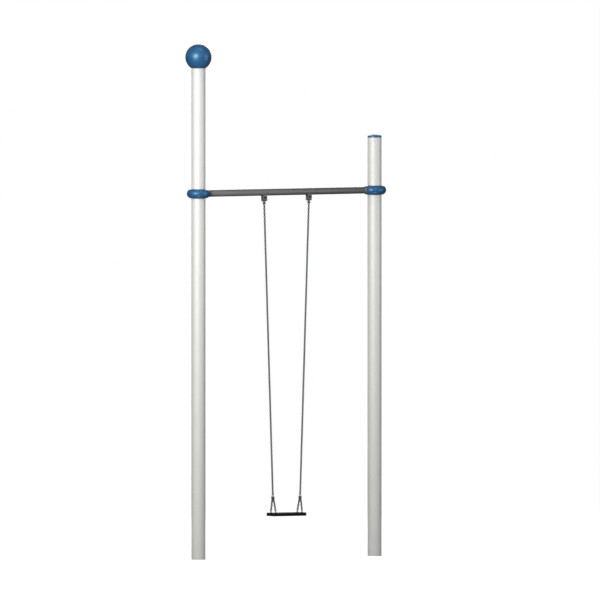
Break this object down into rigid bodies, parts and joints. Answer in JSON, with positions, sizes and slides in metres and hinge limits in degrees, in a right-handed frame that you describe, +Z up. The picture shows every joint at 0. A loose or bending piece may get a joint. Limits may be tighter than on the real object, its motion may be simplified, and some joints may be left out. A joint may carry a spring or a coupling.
{
  "type": "swing set",
  "caption": "Two-post swing with a grey crossbar in blue clamp collars, a black rubber seat on chains, a blue ball on the tall post and a domed cap on the short one.",
  "frame": {"origin": "on the ground, midway between the two posts' axes", "axes": "+X along the crossbar from the tall post to the short one, +Y towards the back of the swing's arc, +Z up"},
  "size_m": [2.0529, 0.236, 4.6425],
  "materials": {
    "post_finish": "satin off-white powder coat",
    "blue_moulding": "gloss",
    "blue_casting": "gloss powder coat",
    "grey_tube": "satin",
    "grey_casting": "satin",
    "galvanised": "dull dark zinc",
    "stainless": "satin",
    "bush_plastic": "matt",
    "black_plastic": "matt",
    "black_rubber": "matt moulded",
    "seat_plate": "mill"
  },
  "bodies": {
    "frame": {"left_post": "post_finish", "right_post": "post_finish", "ball_finial": "blue_moulding", "dome_cap": "blue_moulding", "finial_screws": "stainless", "cap_screws": "stainless", "left_collar_outer": "blue_casting", "left_collar_inner": "blue_casting", "right_collar_outer": "blue_casting", "right_collar_inner": "blue_casting", "collar_bolts": "stainless", "collar_nuts": "stainless", "collar_lock_pins": "stainless", "left_bar_neck": "grey_casting", "right_bar_neck": "grey_casting", "neck_screws": "stainless", "bar_screws": "stainless", "crossbar": "grey_tube", "left_hanger_bracket": "grey_casting", "right_hanger_bracket": "grey_casting", "pivot_bolts": "stainless", "pivot_nuts": "stainless", "pivot_washers": "bush_plastic"},
    "left_hanger": {"left_yoke": "grey_casting", "left_pivot_bush": "bush_plastic"},
    "right_hanger": {"right_yoke": "grey_casting", "right_pivot_bush": "bush_plastic"},
    "left_line": {"left_shackle": "galvanised", "left_shackle_pin": "stainless", "left_chain": "galvanised"},
    "right_line": {"right_shackle": "galvanised", "right_shackle_pin": "stainless", "right_chain": "galvanised"},
    "left_connector": {"left_end_link": "galvanised"},
    "right_connector": {"right_end_link": "galvanised"},
    "seat": {"left_bridle_shackle": "galvanised", "right_bridle_shackle": "galvanised", "left_bridle_pin": "stainless", "right_bridle_pin": "stainless", "left_front_leg": "galvanised", "left_back_leg": "galvanised", "right_front_leg": "galvanised", "right_back_leg": "galvanised", "seat_eye_bolts": "stainless", "seat_sleeves": "stainless", "seat_washers": "stainless", "seat_nuts": "stainless", "seat_nut_caps": "black_plastic", "seat_body": "black_rubber", "seat_plate": "seat_plate"}
  },
  "joints": [
    {"name": "left_swing", "type": "hinge", "parent": "frame", "child": "left_hanger", "pos_m": [-0.232, 0, 3.22885], "axis": [1, 0, 0], "range_deg": [-75, 75]},
    {"name": "right_swing", "type": "hinge", "parent": "frame", "child": "right_hanger", "pos_m": [0.232, 0, 3.22885], "axis": [1, 0, 0], "range_deg": [-75, 75]},
    {"name": "left_sway", "type": "hinge", "parent": "left_hanger", "child": "left_line", "pos_m": [-0.232, 0, 3.19885], "axis": [0, 1, 0], "range_deg": [-4, 4]},
    {"name": "right_sway", "type": "hinge", "parent": "right_hanger", "child": "right_line", "pos_m": [0.232, 0, 3.19885], "axis": [0, 1, 0], "range_deg": [-4, 4]},
    {"name": "left_roll", "type": "hinge", "parent": "left_line", "child": "left_connector", "pos_m": [-0.1427, 0, 0.58698], "axis": [0, 1, 0], "range_deg": [-7, 7]},
    {"name": "right_roll", "type": "hinge", "parent": "right_line", "child": "right_connector", "pos_m": [0.1427, 0, 0.58698], "axis": [0, 1, 0], "range_deg": [-7, 7]},
    {"name": "seat_tilt", "type": "hinge", "parent": "left_connector", "child": "seat", "pos_m": [-0.14208, 0, 0.56879], "axis": [1, 0, 0], "range_deg": [-40, 40]}
  ],
  "couplings": [
    {"joint": "right_swing", "follows": "left_swing", "ratio": 1},
    {"joint": "right_sway", "follows": "left_sway", "ratio": 1},
    {"joint": "left_roll", "follows": "left_sway", "ratio": -1.6258},
    {"joint": "right_roll", "follows": "left_sway", "ratio": -1.6258}
  ]
}
